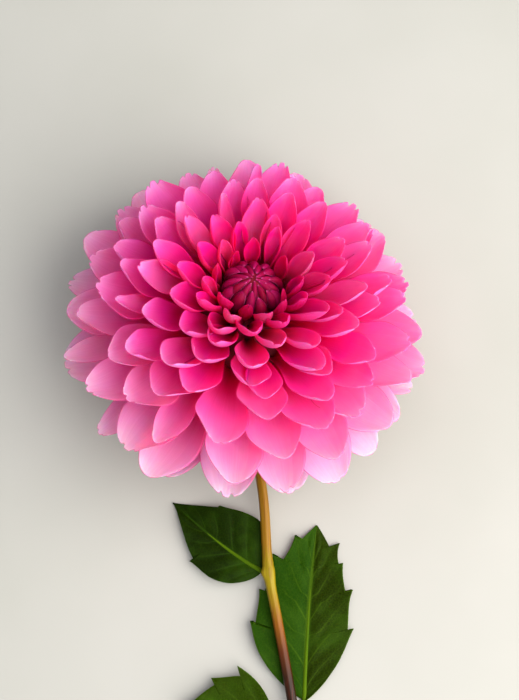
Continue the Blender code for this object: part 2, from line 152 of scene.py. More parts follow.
# The calyx: its cup, and its bracts as start and end (radius, height), half width and curl.
CALYX_PROFILE = ((0, -19.3), (9.5, -19.3), (10.5, -21), (8, -25), (3.4, -28), (0, -28))
INNER_BRACTS = 8
OUTER_BRACTS = 5
BRACT_CELLS = (8, 14)
BRACT_THICKNESS = 0.5
BRACT_CUP = 1.2
INNER_BRACT = ((8.5, -21.4), (19.0, -22.0), 3.6, -1.2)
OUTER_BRACT = ((7.6, -24.2), (19.0, -31.0), 3.2, 2.2)

# The stem.
SET_DOWN = Vector((-0.9, 0.1, 0.0))  # added to the places of the stem and the leaves below
NECK_START = 28.3
NECK_STEPS = (0.0, 1.5, 4.5)  # below the neck's start, along the head's axis
NECK_RADIUS = 2.7
NECK_SHARE = 0.12  # of the stem's length, over which it slims from the neck
STEM_ROUTE = (
    (1.5, 37.0, 7.8),
    (5.4, 16.0, 6.8),
    (9.8, -10.0, 6.6),
    (11.9, -40.0, 6.4),
    (16.0, -63.0, 6.0),
    (21.8, -95.0, 4.6),
    (23.6, -108.0, 3.9),
    (26.5, -136.0, 1.8),
)
STEM_RADIUS = 2.1
STEM_CELLS = (28, 220)
NODES_Y = (-41.0, -108.0)
NODE_SWELLING = 0.6
NODE_LENGTH = 4.5
SCAR_PLACE = 2.5  # where a leaf scar rings the stem, beyond the node's middle
SCAR_DEPTH = 0.16
SCAR_WIDTH = 0.5
BUD_HEIGHT = 1.0
BUD_PLACE = -0.5
BUD_LENGTH = 1.8
BUD_TURN = math.pi * 0.12  # where round the stem its buds stand
BUD_SPREAD = 0.45
STEM_RIBS = 7
RIB_DEPTH = 0.09

# The leaves.
LEAF_THICKNESS = 0.4
LEAF_CELLS = 40
LEAF_ROWS = 72
RIB_RADIUS = 0.75
RIB_TAPER = (1.6, 1.25)  # a rib at its foot, and what it loses to its tip, as shares of that
RIB_CELLS = (14, 80)
RIB_SUNK = 0.55  # how far a midrib's axis lies below the upper face
RIB_END = 0.96  # the share of the blade over which its midrib stands out
RIB_POINTS = 26
RIB_COLOURS = ("#3c5c08", "#486408", "#60780c")
TOOTH_STEP = 0.006  # the share of its length over which the margin falls back behind a tooth
TOOTH_RUN = 0.055  # the share of its length over which a leaf's margin swells out to a tooth
TOOTH_HOOK = 0.55  # how far a tooth's point bends forwards, as a share of its depth
LEAF_SWEEP = 0.12  # how far the halves run ahead of the midrib, as a share of their width
LEAF_ROLLING = 0.9  # how far a margin rises and falls
LEAF_FOLD = 0.07  # the slope at which the halves rise from the midrib
LEAF_PUFF = 0.7
VEIN_SWEEP = 0.24  # how far side veins run ahead towards the tip, as a share of the leaf's length
LEAF_TIP = 0.25  # the least half width
# A leaf has the points of its stalk and the curve of its midrib. Its pairs are for the left and the
# right half: half width, where along the leaf that is, powers that shape the tip and the base, and
# teeth as (place along the leaf, depth). Its colours are the two halves', set apart as painted light
# and shade, and the veins'.
LEAVES = {
    "leaf_upper": {
        "petiole": (),
        "midrib": ((9.3, -41.0, 4.1), (-7.0, -32.5, 4.4), (-29.4, -11.2, 0.8)),
        "half_widths": (14.2, 18.0),
        "broad_at": (0.40, 0.30),
        "tip_powers": (1.25, 1.0),
        "base_powers": (0.62, 0.55),
        "teeth": (((0.57, 1.6),), ((0.68, 0.7),)),
        "veins": 6,
        "colours": ("#101e00", "#122200", "#30500a"),
    },
    "leaf_right": {
        "petiole": ((27.5, -109.0, 3.4), (27.4, -101.0, 2.4)),
        "midrib": ((27.0, -95.0, 1.6), (28.6, -56.0, 2.2), (33.0, -21.0, 0.8)),
        "half_widths": (22.4, 17.0),
        "broad_at": (0.32, 0.36),
        "tip_powers": (0.95, 0.85),
        "base_powers": (0.75, 0.75),
        "teeth": (
            ((0.355, 2.4), (0.54, 2.2), (0.735, 4.4), (0.885, 2.8)),
            ((0.36, 2.6), (0.58, 3.0), (0.75, 1.8), (0.86, 4.0)),
        ),
        "veins": 8,
        "colours": ("#1a3a00", "#1c2a00", "#4c6c10"),
    },
    "leaf_left": {
        "petiole": ((20.6, -108.2, 3.8),),
        "midrib": ((15.0, -107.6, 3.6), (-6.0, -99.0, 4.2), (-36.0, -124.0, 0.8)),
        "half_widths": (18.5, 20.5),
        "broad_at": (0.42, 0.27),
        "tip_powers": (0.9, 1.5),
        "base_powers": (0.8, 1.0),
        "teeth": (((0.40, 2.5), (0.60, 2.5), (0.80, 2.5)), ((0.25, 4.4), (0.41, 2.8), (0.62, 2.5))),
        "veins": 7,
        "colours": ("#1c2a00", "#223400", "#4c6c10"),
    },
}


# The camera: what it looks at, and from where.
CAMERA_AIM = (7.2, 47.9, 43.0)
CAMERA_ELEVATION = math.radians(78.0)
CAMERA_DISTANCE = 0.62  # metres
CAMERA_LENS = 76.7
CAMERA_SENSOR = 36.0

# The set, in metres and watts. A light has a name, a place, a size, a power and a colour.
FLOOR_SIZE = 6.0
SIDE_LIGHT = ("side_light", (0.74, -0.25, 0.65), 1.5, 28.5, "#fff8f2")
TOP_FILL = ("top_fill", (0.0, 0.0, 1.45), 1.8, 7.5, "#f6f4ff")
LIGHT_TARGET = (0.0, 0.03, 0.03)
STUDIO_COLOUR = "#e8e8ea"
STUDIO_STRENGTH = 0.62


# ---------------------------------------------------------------- materials


def linear(value):
    """An sRGB hex colour as linear RGBA."""
    parts = [int(value[i : i + 2], 16) / 255.0 for i in (1, 3, 5)]
    return (*[c / 12.92 if c <= 0.04045 else ((c + 0.055) / 1.055) ** 2.4 for c in parts], 1.0)


def add_node(tree, kind, inputs=None, **settings):
    """Add a shader node with its settings; an input is a value or another node's output."""
    made = tree.nodes.new(kind)
    for key, value in settings.items():
        setattr(made, key, value)
    for key, value in (inputs or {}).items():
        if isinstance(value, bpy.types.NodeSocket):
            tree.links.new(value, made.inputs[key])
        else:
            made.inputs[key].default_value = value
    return made


def new_material(name, **constants):
    """A Principled material with constants set on its sockets; returns it, its tree and shader."""
    material = bpy.data.materials.new(name)
    material.use_nodes = True
    shader = material.node_tree.nodes["Principled BSDF"]
    for key, value in constants.items():
        shader.inputs[key.replace("_", " ")].default_value = value
    return material, material.node_tree, shader


def math_node(tree, operation, *values, **settings):
    """The output of a math operation on values or sockets."""
    made = add_node(tree, "ShaderNodeMath", dict(enumerate(values)), operation=operation, **settings)
    return made.outputs[0]


def colour_ramp(tree, factor, stops):
    """The colour at a factor, between stops of (place, hex colour)."""
    ramp = add_node(tree, "ShaderNodeValToRGB", {0: factor})
    elements = ramp.color_ramp.elements
    while len(elements) < len(stops):
        elements.new(0.5)
    for element, (place, value) in zip(elements, stops):
        element.position = place
        element.color = linear(value)
    return ramp.outputs[0]


def mix_colour(tree, factor, a, b, blend_type="MIX"):
    """Two colours mixed."""
    made = add_node(tree, "ShaderNodeMix", None, data_type="RGBA", blend_type=blend_type)
    for socket, value in ((made.inputs[0], factor), (made.inputs[6], a), (made.inputs[7], b)):
        if isinstance(value, bpy.types.NodeSocket):
            tree.links.new(value, socket)
        else:
            socket.default_value = value
    return made.outputs[2]


def ramp_up(tree, value, low, high):
    """0 below low and 1 above high, with an easy curve between."""
    made = add_node(
        tree,
        "ShaderNodeMapRange",
        {"Value": value, "From Min": low, "From Max": high},
        interpolation_type="SMOOTHSTEP",
    )
    return made.outputs[0]


def noise(tree, vector, scale, detail):
    """A cloudy pattern, 0 to 1, in patches of about 1 / scale."""
    inputs = {"Vector": vector, "Scale": scale, "Detail": detail}
    return add_node(tree, "ShaderNodeTexNoise", inputs).outputs[0]


def streaks_along(tree, vector, stretch, detail):
    """A cloudy pattern in streaks: stretch says how many there are to a unit along each axis."""
    stretched = add_node(tree, "ShaderNodeMapping", {"Vector": vector, "Scale": stretch})
    return noise(tree, stretched.outputs[0], 1.0, detail)


def own_place(tree):
    """A point's place on its piece, in metres."""
    return add_node(tree, "ShaderNodeTexCoord").outputs["Object"]


def finish_skin(tree, shader, colour, height, strength, depth):
    """Colour a surface and give it relief, depth in millimetres."""
    tree.links.new(colour, shader.inputs["Base Color"])
    inputs = {"Height": height, "Strength": strength, "Distance": depth * MM}
    bump = add_node(tree, "ShaderNodeBump", inputs)
    tree.links.new(bump.outputs[0], shader.inputs["Normal"])


def petal_coordinates(tree):
    """Across (0 at the midline, 1 at the margin) and along (0 at the base, 1 at the tip)."""
    uv = add_node(tree, "ShaderNodeUVMap", uv_map="UVMap").outputs[0]
    split = add_node(tree, "ShaderNodeSeparateXYZ", {0: uv})
    side = math_node(tree, "MULTIPLY_ADD", split.outputs[0], 2.0, -1.0)
    return uv, math_node(tree, "ABSOLUTE", side), split.outputs[1]


def attribute(tree, name):
    """A number kept on the mesh's points."""
    return add_node(tree, "ShaderNodeAttribute", attribute_name=name).outputs["Fac"]


def petal_tissue(name, inner, middle, outer, rim):
    """Living petal: thin satin skin over watery cells, so light soaks in and comes out redder.

    Its colour runs from the crimson claw to a paler tip and margin, with fine veins lengthwise.
    The nearly black claws of the younger petals are painted shade, where they lie deep in the head.
    """
    material, tree, shader = new_material(
        name,
        Roughness=0.6,
        IOR=1.4,
        Specular_IOR_Level=0.15,
        Subsurface_Weight=1.0,
        Subsurface_Scale=MM,
        Subsurface_Radius=(2.6, 0.4, 0.9),
    )
    uv, across, along = petal_coordinates(tree)
    age = attribute(tree, "petal_age")
    tint = attribute(tree, "petal_tint")
    young = colour_ramp(tree, along, inner)
    mid = colour_ramp(tree, along, middle)
    old = colour_ramp(tree, along, outer)
    colour = mix_colour(tree, ramp_up(tree, age, 0.02, 0.38), young, mid)
    colour = mix_colour(tree, ramp_up(tree, age, 0.42, 0.92), colour, old)
    # The youngest cups are still as deep as the closed florets.
    colour = mix_colour(tree, ramp_up(tree, age, 0.03, -0.06), colour, linear("#cc68a4"), "MULTIPLY")
    # Veins run lengthwise, about 0.7 mm apart on a broad petal.
    veins = streaks_along(tree, uv, (38.0, 1.6, 1.0), 3.0)
    veined = math_node(tree, "MULTIPLY", veins, 0.28)
    colour = mix_colour(tree, veined, colour, linear("#c2125f"), "MULTIPLY")
    # Some petals are paler than others, and each has paler patches about 1.5 cm wide.
    patches = noise(tree, own_place(tree), 70.0, 2.0)
    pale = math_node(tree, "MULTIPLY_ADD", patches, 0.3, -0.16)
    pale = math_node(tree, "MULTIPLY_ADD", tint, 0.1, pale)
    pale = math_node(tree, "MULTIPLY", math_node(tree, "MAXIMUM", pale, 0.0), along)
    colour = mix_colour(tree, pale, colour, linear("#ffc9e2"))
    # The cut edge of the thin tissue lets more light out, so its own colour is deeper.
    sides, end = ramp_up(tree, across, 0.96, 1.0), ramp_up(tree, along, 0.985, 1.0)
    margin = math_node(tree, "MAXIMUM", sides, end)
    colour = mix_colour(tree, margin, colour, linear(rim), "MULTIPLY")
    finish_skin(tree, shader, colour, veins, 0.5, 0.25)
    return material


def petal_face():
    """The inner face of a petal, the more strongly coloured one."""
    return petal_tissue(
        "petal_face_satin",
        # The young and middle claws, near black, are painted shade deep in the head; the crimson above
        # them is their own.
        ((0.0, "#040000"), (0.23, "#64001c"), (0.42, "#e40060"), (0.75, "#f80088"), (1.0, "#f83c9c")),
        ((0.0, "#640018"), (0.30, "#e40060"), (0.55, "#f41890"), (0.8, "#f458ac"), (1.0, "#f688c4")),
        ((0.0, "#d40058"), (0.3, "#ea2080"), (0.55, "#f26cac"), (0.8, "#f49cc0"), (1.0, "#f8bece")),
        "#e4a8c0",
    )


def petal_back():
    """The outer face of a petal, paler and more milky."""
    return petal_tissue(
        "petal_back_satin",
        ((0.0, "#5c001c"), (0.25, "#980038"), (0.5, "#bc0054"), (0.8, "#cc1070"), (1.0, "#dc2c80")),
        ((0.0, "#981448"), (0.3, "#d8187c"), (0.55, "#ec3ca0"), (0.8, "#f264b8"), (1.0, "#f680c8")),
        ((0.0, "#b04064"), (0.35, "#cc6088"), (0.62, "#dc7ca0"), (0.85, "#e498b4"), (1.0, "#e8acc0")),
        "#e4a8c0",
    )


def receptacle():
    """The fleshy ground between the petal bases, coloured dark red as painted shade of the deep head."""
    material, tree, shader = new_material("receptacle_painted_shade", Roughness=0.7, Specular_IOR_Level=0.2)
    grain = noise(tree, own_place(tree), 260.0, 4.0)
    colour = colour_ramp(tree, grain, ((0.3, "#4c000e"), (0.7, "#8c0428")))
    finish_skin(tree, shader, colour, grain, 0.6, 0.4)
    return material


def floret_tissue():
    """Closed florets: dark magenta, firm and slightly glossy, with a thin paler margin, and painted
    shade at the foot and in the seams.
    """
    material, tree, shader = new_material(
        "floret_satin",
        Roughness=0.5,
        IOR=1.4,
        Specular_IOR_Level=0.1,
        Subsurface_Weight=0.5,
        Subsurface_Scale=MM,
        Subsurface_Radius=(1.6, 0.3, 0.6),
    )
    uv, across, along = petal_coordinates(tree)
    tint = attribute(tree, "petal_tint")
    colour = colour_ramp(tree, along, FLORET_COLOURS)
    veins = streaks_along(tree, uv, (16.0, 1.4, 1.0), 2.0)
    veined = math_node(tree, "MULTIPLY", veins, 0.5)
    colour = mix_colour(tree, veined, colour, linear("#7a0a3c"), "MULTIPLY")
    lighter = math_node(tree, "MULTIPLY_ADD", tint, 0.12, 0.1)
    colour = mix_colour(tree, lighter, colour, linear("#d01c80"))
    # Painted shade: the lower margins are darkened where they lie in the seams between the florets.
    sides, lower = ramp_up(tree, across, 0.5, 0.95), ramp_up(tree, along, 0.9, 0.5)
    seam_shade = math_node(tree, "MULTIPLY", sides, lower)
    colour = mix_colour(tree, math_node(tree, "MULTIPLY", seam_shade, 0.7), colour, linear("#3c0012"))
    # The margin is paler round the tip.
    sides, end = ramp_up(tree, across, 0.88, 1.0), ramp_up(tree, along, 0.92, 1.0)
    edge = math_node(tree, "MAXIMUM", sides, end)
    margin = math_node(tree, "MULTIPLY", edge, ramp_up(tree, along, 0.45, 0.85))
    colour = mix_colour(tree, math_node(tree, "MULTIPLY", margin, 0.55), colour, linear("#e060a0"))
    finish_skin(tree, shader, colour, veins, 0.4, 0.2)
    return material


def bract_tissue():
    """Fleshy green bracts, matt, yellower at their tips."""
    material, tree, shader = new_material(
        "bract_flesh",
        Roughness=0.55,
        Subsurface_Weight=0.15,
        Subsurface_Scale=MM,
        Subsurface_Radius=(1.0, 1.2, 0.3),
    )
    uv, across, along = petal_coordinates(tree)
    colour = colour_ramp(tree, along, ((0.0, "#5c6e22"), (0.6, "#7d8c34"), (1.0, "#a09a4e")))
    veins = streaks_along(tree, uv, (12.0, 1.2, 1.0), 3.0)
    colour = mix_colour(tree, math_node(tree, "MULTIPLY", veins, 0.6), colour, linear("#4c5a1c"))
    colour = mix_colour(tree, ramp_up(tree, across, 0.8, 1.0), colour, linear("#96a052"))
    finish_skin(tree, shader, colour, veins, 0.4, 0.3)
    return material


def stem_skin():
    """Waxy stem skin: golden brown, greener at the nodes, darker towards the cut, streaked."""
    material, tree, shader = new_material(
        "stem_waxy_skin",
        Roughness=0.42,
        Specular_IOR_Level=0.2,
        Coat_Weight=0.05,
        Coat_Roughness=0.3,
    )
    place = own_place(tree)
    split = add_node(tree, "ShaderNodeSeparateXYZ", {0: place})
    low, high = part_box("stem")
    span = {"Value": split.outputs[1], "From Min": low.y, "From Max": high.y}
    share = add_node(tree, "ShaderNodeMapRange", span).outputs[0]
    node_share = [(y * MM + SET_DOWN.y * MM - low.y) / (high.y - low.y) for y in NODES_Y]
    colour = colour_ramp(
        tree,
        share,
        (
            (0.0, "#1c0c00"),
            (0.20, "#1e0c00"),
            (0.26, "#2a1200"),
            (0.32, "#562804"),
            (0.38, "#845008"),
            (node_share[0] - 0.03, "#908004"),
            (node_share[0] + 0.01, "#8c7a02"),
            (node_share[0] + 0.06, "#8a6402"),
            (1.0, "#8e6404"),
        ),
    )
    # Streaks about 0.6 mm wide and 2.5 cm long.
    streaks = streaks_along(tree, place, (1600.0, 40.0, 1600.0), 3.0)
    streaked = math_node(tree, "MULTIPLY", ramp_up(tree, streaks, 0.45, 0.72), 0.5)
    colour = mix_colour(tree, streaked, colour, linear("#5a1e0a"))
    finish_skin(tree, shader, colour, streaks, 0.4, 0.15)
    return material


def leaf_tissue(name, veins, left_half_painted_tone, right_half_painted_tone, vein_colour):
    """A dark satin leaf, paler along its veins, its two halves coloured apart as painted light and
    shade.
    """
    material, tree, shader = new_material(
        name,
        Roughness=0.5,
        Specular_IOR_Level=0.03,
        Subsurface_Weight=0.12,
        Subsurface_Scale=MM,
        Subsurface_Radius=(0.8, 1.2, 0.2),
    )
    uv = add_node(tree, "ShaderNodeUVMap", uv_map="UVMap").outputs[0]
    split = add_node(tree, "ShaderNodeSeparateXYZ", {0: uv})
    side = math_node(tree, "MULTIPLY_ADD", split.outputs[0], 2.0, -1.0)
    across, along = math_node(tree, "ABSOLUTE", side), split.outputs[1]
    place = own_place(tree)
    patches = noise(tree, place, 90.0, 3.0)
    # Painted light and shade: each half has its own colour, as if one were turned more to the light.
    halves_light_and_shade = ramp_up(tree, side, -0.15, 0.15)
    colour = mix_colour(tree, halves_light_and_shade, linear(left_half_painted_tone), linear(right_half_painted_tone))
    lighter = math_node(tree, "MULTIPLY", ramp_up(tree, patches, 0.4, 0.75), 0.4)
    colour = mix_colour(tree, lighter, colour, linear("#30500a"))
    # Side veins leave the midrib at a steady pitch and sweep towards the tip.
    pitch = math_node(tree, "MULTIPLY", along, float(veins))
    swept = math_node(tree, "MULTIPLY", math_node(tree, "POWER", across, 0.8), VEIN_SWEEP * veins)
    phase = math_node(tree, "FRACT", math_node(tree, "SUBTRACT", pitch, swept))
    near = math_node(tree, "ABSOLUTE", math_node(tree, "SUBTRACT", phase, 0.5))
    side_vein = ramp_up(tree, near, 0.42, 0.5)
    side_vein = math_node(tree, "MULTIPLY", side_vein, math_node(tree, "SUBTRACT", 1.0, across))
    midrib = math_node(tree, "SUBTRACT", 1.0, ramp_up(tree, across, 0.02, 0.07))
    lines = math_node(tree, "MAXIMUM", midrib, math_node(tree, "MULTIPLY", side_vein, 0.8))
    colour = mix_colour(tree, math_node(tree, "MULTIPLY", lines, 0.4), colour, linear(vein_colour))
    # Light comes through the thin margin.
    margin = math_node(tree, "MULTIPLY", ramp_up(tree, across, 0.965, 1.0), 0.4)
    colour = mix_colour(tree, margin, colour, linear(vein_colour))
    # A fine net of veins, cells about 1.2 mm across.
    cells = {"Vector": place, "Scale": 800.0}
    net = add_node(tree, "ShaderNodeTexVoronoi", cells, feature="DISTANCE_TO_EDGE").outputs[0]
    net_line = math_node(tree, "SUBTRACT", 1.0, ramp_up(tree, net, 0.0, 0.12))
    net_tint = math_node(tree, "MULTIPLY", net_line, 0.12)
    colour = mix_colour(tree, net_tint, colour, linear(vein_colour))
    height = math_node(tree, "MULTIPLY", patches, 0.6)
    height = math_node(tree, "MULTIPLY_ADD", net_line, -0.25, height)
    finish_skin(tree, shader, colour, height, 0.5, 0.3)
    return material


def floor_paint():
    """Matt pale wall paint, slightly uneven."""
    material, tree, shader = new_material("pale_matt_paint", Roughness=0.85, Specular_IOR_Level=0.2)
    mottle = noise(tree, own_place(tree), 6.0, 4.0)
    colour = colour_ramp(tree, mottle, ((0.3, "#a9aba3"), (0.7, "#b3b4ae")))
    tree.links.new(colour, shader.inputs["Base Color"])
    return material


# ---------------------------------------------------------------- shapes


def smooth_step(low, high, x):
    """0 below low, 1 above high, and an easy curve between."""
    q = np.clip((x - low) / (high - low), 0.0, 1.0)
    return q * q * (3.0 - 2.0 * q)


def by_age(age, values):
    """The value at an age, between those listed at AGES."""
    return float(np.interp(age, AGES, values))


def head_to_world(points):
    """Head coordinates in millimetres, axis +Z, to the flower as it lies."""
    return points @ HEAD_TURN.T + HEAD_CENTRE


def turned(points, azimuth):
    """Points turned about the head's axis."""
    cos, sin = math.cos(azimuth), math.sin(azimuth)
    x, y, z = points[..., 0], points[..., 1], points[..., 2]
    return np.stack([x * cos - y * sin, x * sin + y * cos, z], -1)


def midline(age, azimuth, draw):
    """A petal's midline: share of length, angle from the axis, radius, height and length."""
    share = np.linspace(0.0, 1.0, TRACE_STEPS)
    bend = math.radians(by_age(age, BEND) + draw["bend"])
    hook = math.radians(by_age(age, HOOK))
    angle = bend * smooth_step(*BEND_SPAN, share) - hook * smooth_step(*HOOK_SPAN, share)
    between = (angle[1:] + angle[:-1]) / 2.0
    chord_r, chord_z = np.sin(between).mean(), np.cos(between).mean()
    root_r, root_z = by_age(age, ROOT_RADIUS), by_age(age, ROOT_HEIGHT)
    reach = draw["reach"] * (1.0 + UPPER_REACH * max(math.cos(azimuth - UPPER_SIDE), 0.0))
    reach_r = (by_age(age, TIP_RADIUS) - root_r) * reach
    reach_z = (by_age(age, TIP_HEIGHT) - root_z) * reach
    length = math.hypot(reach_r, reach_z) / math.hypot(chord_r, chord_z)
    lean = math.atan2(reach_r, reach_z) - math.atan2(chord_r, chord_z)
    laid = int(LAID_SHARE * (TRACE_STEPS - 1))
    # A petal that would go through the floor swings up until it rests there.
    while True:
        steps = length / (TRACE_STEPS - 1)
        radius = root_r + np.append(0.0, np.cumsum(np.sin(between + lean))) * steps
        height = root_z + np.append(0.0, np.cumsum(np.cos(between + lean))) * steps
        line = np.stack([radius, 0.0 * radius, height], -1)
        if head_to_world(turned(line, azimuth))[laid, 2] >= -PRESSED:
            return share, angle + lean, radius, height, length
        lean -= math.radians(1.0)


def petal_draw(number):
    """The seeded differences of one petal from its neighbours, large ones first, then fine ones."""
    rng = random.Random(SEED * 1000 + number)
    return {
        "azimuth": math.radians(rng.uniform(-7.0, 7.0)),
        "reach": rng.uniform(0.93, 1.035),
        "width": rng.uniform(0.84, 1.1),
        "bend": rng.uniform(-6.0, 6.0),
        "twist": math.radians(rng.uniform(-12.0, 12.0)),
        "sway": rng.uniform(-0.07, 0.07),
        "point": rng.uniform(0.12, 0.19),
        "folded": rng.random() < FOLDED_SHARE,
        "flare": rng.uniform(0.4, 1.0),
        "wave": rng.uniform(0.1, 0.5),
        "wave_turns": rng.uniform(1.0, 2.0),
        "wave_start": rng.uniform(0.0, math.tau),
        "lopsided": rng.uniform(-0.2, 0.2),
        "crease": rng.uniform(0.0, 1.0),
        "teeth": rng.choice((0.0, 0.3, 0.7, 1.0)),
        "teeth_at": rng.uniform(-0.08, 0.08),
        "tint": rng.uniform(-1.0, 1.0),
    }


def petal_edges(v, u, arc, draw):
    """How far along each point lies, and the half width as a share: an ellipse with a toothed tip."""
    t = np.clip((v - BROAD_AT) / (1.0 - BROAD_AT), 0.0, 1.0)
    margin_along = BROAD_AT + (1.0 - BROAD_AT) * np.sin(t * arc)
    along = np.where(v > BROAD_AT, v + (margin_along - v) * u**2, v)
    tip = smooth_step(0.55, 1.0, t)
    point = np.exp(-(((u - draw["teeth_at"]) / TIP_POINT_WIDTH) ** 2))
    along = along + draw["point"] * TIP_POINT_SHARE * point * tip
    for place in TIP_NOTCH_PLACES:
        notch = np.exp(-(((u - draw["teeth_at"] - place) / TIP_NOTCH_WIDTH) ** 2))
        along = along - TIP_NOTCH_DEPTH * draw["teeth"] * notch * tip
    return along, np.cos(t * arc)


def petal_surface(age, azimuth, draw, u, v):
    """The back of a petal at u across (-1 to 1) and v along (0 to 1), in head coordinates."""
    share, angles, radii, heights, length = midline(age, azimuth, draw)
    along, narrowing = petal_edges(v, u, math.radians(by_age(age, TIP_ARC)), draw)
    radius = np.interp(along, share, radii)
    height = np.interp(along, share, heights)
    angle = np.interp(along, share, angles)
    full = by_age(age, WIDTH) * draw["width"] * (FOLDED_WIDTH if draw["folded"] else 1.0) / 2.0
    claw = by_age(age, CLAW_HALF_WIDTH)
    spread_at = SLIM_SHARE * smooth_step(0.08, 0.4, age)
    spread = smooth_step(spread_at, spread_at + SPREAD_SHARE, v)
    half = (claw + (full - claw) * spread) * narrowing
    rolls = (by_age(age, CLAW_ROLL), by_age(age, MID_ROLL), by_age(age, TIP_ROLL))
    roll = np.radians(np.interp(v, ROLL_PLACES, rolls)) * (1.0 + draw["lopsided"] * u)
    roll = roll * (1.0 + (FOLDED_ROLL - 1.0) * v) if draw["folded"] else roll
    across = half / roll * np.sin(roll * u)
    raised = half / roll * (1.0 - np.cos(roll * u))
    flare = draw["flare"] * min(max(2.5 * age, 0.3), 1.0)  # the hooded young ones flare less
    raised = raised - flare * smooth_step(FLARE_WIDTH, 1.0, np.abs(u)) * smooth_step(*FLARE_SPAN, v)
    wave = np.sin(math.tau * draw["wave_turns"] * v + draw["wave_start"] + 1.3 * np.sign(u))
    raised = raised + draw["wave"] * wave * np.abs(u) ** 3 * smooth_step(*WAVE_SPAN, v)
    crease = draw["crease"] * CREASE_DEPTH * age * np.exp(-((u / CREASE_WIDTH) ** 2))
    raised = raised - crease * smooth_step(*CREASE_SPAN, v)
    twist = draw["twist"] * v**1.5
    side = across * np.cos(twist) - raised * np.sin(twist) + draw["sway"] * length * v**2
    up = across * np.sin(twist) + raised * np.cos(twist)
    return np.stack([radius - np.cos(angle) * up, side, height + np.sin(angle) * up], -1)


def laid_petal(number):
    """A function from (u, v) to the back of a petal as it lies."""
    age = number / (PETALS - 1)
    draw = petal_draw(number)
    azimuth = number * GOLDEN_ANGLE + draw["azimuth"]

    def shape(u, v):
        points = head_to_world(turned(petal_surface(age, azimuth, draw, u, v), azimuth))
        points[..., 2] = np.maximum(points[..., 2], LAYER_STEP * (1.0 - age))
        return points

    return shape


def floret_shape(number):
    """A function from (u, v) to the outer face of a closed floret, arching over the heart."""
    rng = random.Random(SEED * 2000 + number)
    age = number / (HEART_FLORETS - 1)
    azimuth = number * GOLDEN_ANGLE + math.radians(rng.uniform(-5.0, 5.0))
    tip = FLORET_TIP[0] + FLORET_TIP[1] * age**1.2 + rng.uniform(-7.0, 7.0) * age
    tip = math.radians(tip)
    foot = math.radians(FLORET_FOOT[0] + FLORET_FOOT[1] * age)
    lift = FLORET_LIFT[0] + FLORET_LIFT[1] * age + rng.uniform(-0.2, 0.2)
    half = (FLORET_HALF[0] + FLORET_HALF[1] * age) * rng.uniform(0.85, 1.15)
    hood = FLORET_HOOD * age
    sway = rng.uniform(-1.0, 1.0) * (0.3 + age)

    def shape(u, v):
        polar = foot + (tip - foot) * v
        wide = smooth_step(-0.3, 0.35, v) * np.maximum(1.0 - v**2.6, 0.0) ** 0.75
        width = half * np.maximum(wide, 0.03)
        rounded = FLORET_ROUNDING * u**2 * (width / half)
        out = HEART_RADIUS + lift * np.sin(math.pi * (0.12 + 0.7 * v)) - rounded - hood * v**5
        radius = out * np.sin(polar)
        height = HEART_CENTRE + out * np.cos(polar)
        side = u * width + sway * np.sin(math.pi * v**1.5)
        return head_to_world(turned(np.stack([radius, side, height], -1), azimuth))

    return shape


def bract_shape(azimuth, start, end, half, curl):
    """A function from (u, v) to the outer face of a bract from start to end, as (radius, height)."""

    def shape(u, v):
        radius = start[0] + (end[0] - start[0]) * v
        height = start[1] + (end[1] - start[1]) * v + curl * np.sin(math.pi * v)
        width = half * (0.55 + 0.45 * smooth_step(0.0, 0.4, v)) * np.maximum(1.0 - v**2.4, 0.0) ** 0.6
        raised = BRACT_CUP * (u * width / half) ** 2
        return head_to_world(turned(np.stack([radius, u * width, height + raised], -1), azimuth))

    return shape


def smooth_route(points, count):
    """Points spaced along a smooth curve through the given ones."""
    knots = [points[0] * 2 - points[1], *points, points[-1] * 2 - points[-2]]
    route = []
    for step in range(count):
        place = (len(points) - 1) * step / (count - 1)
        first = min(int(place), len(points) - 2)
        t = place - first
        a, b, c, d = knots[first : first + 4]
        bend = a * 2 - b * 5 + c * 4 - d
        turn = b * 3 - c * 3 + d - a
        route.append(b + ((c - a) * t + bend * t**2 + turn * t**3) / 2)
    return np.array(route)


def skin_round(route, radius_at):
    """A function from (u, v) to the skin round a route, closed at its ends and never below 0.

    radius_at(row, turn, v) says how far the skin stands from the route.
    """
    ahead = np.gradient(route, axis=0)
    ahead /= np.linalg.norm(ahead, axis=1, keepdims=True)
    right = np.cross(ahead, (0.0, 0.0, 1.0))
    right /= np.linalg.norm(right, axis=1, keepdims=True)
    above = np.cross(right, ahead)
    last = len(route) - 1

    def shape(u, v):
        row = np.rint(v * last).astype(int)
        turn = math.pi * u
        radius = np.where((row == 0) | (row == last), 0.0, radius_at(row, turn, v))
        out = right[row] * np.cos(turn)[..., None] + above[row] * np.sin(turn)[..., None]
        points = route[np.clip(row, 1, last - 1)] + out * radius[..., None]
        points[..., 2] = np.maximum(points[..., 2], 0.0)
        return points

    return shape


def stem_shape():
    """A function from (u, v) to the skin of the stem: ribbed, and swollen at the nodes."""
    neck = [Vector(head_to_world(np.array([0.0, 0.0, -NECK_START - d]))) for d in NECK_STEPS]
    lower = [Vector(point) + SET_DOWN for point in STEM_ROUTE]
    route = smooth_route([*neck, *lower], STEM_CELLS[1] + 1)

    def radius_at(row, turn, v):
        slimmed = smooth_step(0.0, NECK_SHARE, v)
        radius = STEM_RADIUS + (NECK_RADIUS - STEM_RADIUS) * (1.0 - slimmed)
        y = route[row, 1]
        round_bud = np.exp(-(((turn - BUD_TURN) / BUD_SPREAD) ** 2))
        for node in NODES_Y:
            radius = radius + NODE_SWELLING * np.exp(-(((y - node) / NODE_LENGTH) ** 2))
            # A scar ring and a small bud where the leaf stalks stand.
            scar = np.exp(-(((y - node - SCAR_PLACE) / SCAR_WIDTH) ** 2))
            radius = radius - SCAR_DEPTH * scar
            bud = np.exp(-(((y - node - BUD_PLACE) / BUD_LENGTH) ** 2)) * round_bud
            radius = radius + BUD_HEIGHT * bud
        return radius + RIB_DEPTH * np.cos(STEM_RIBS * turn + 2.0 * v)

    return skin_round(route, radius_at)


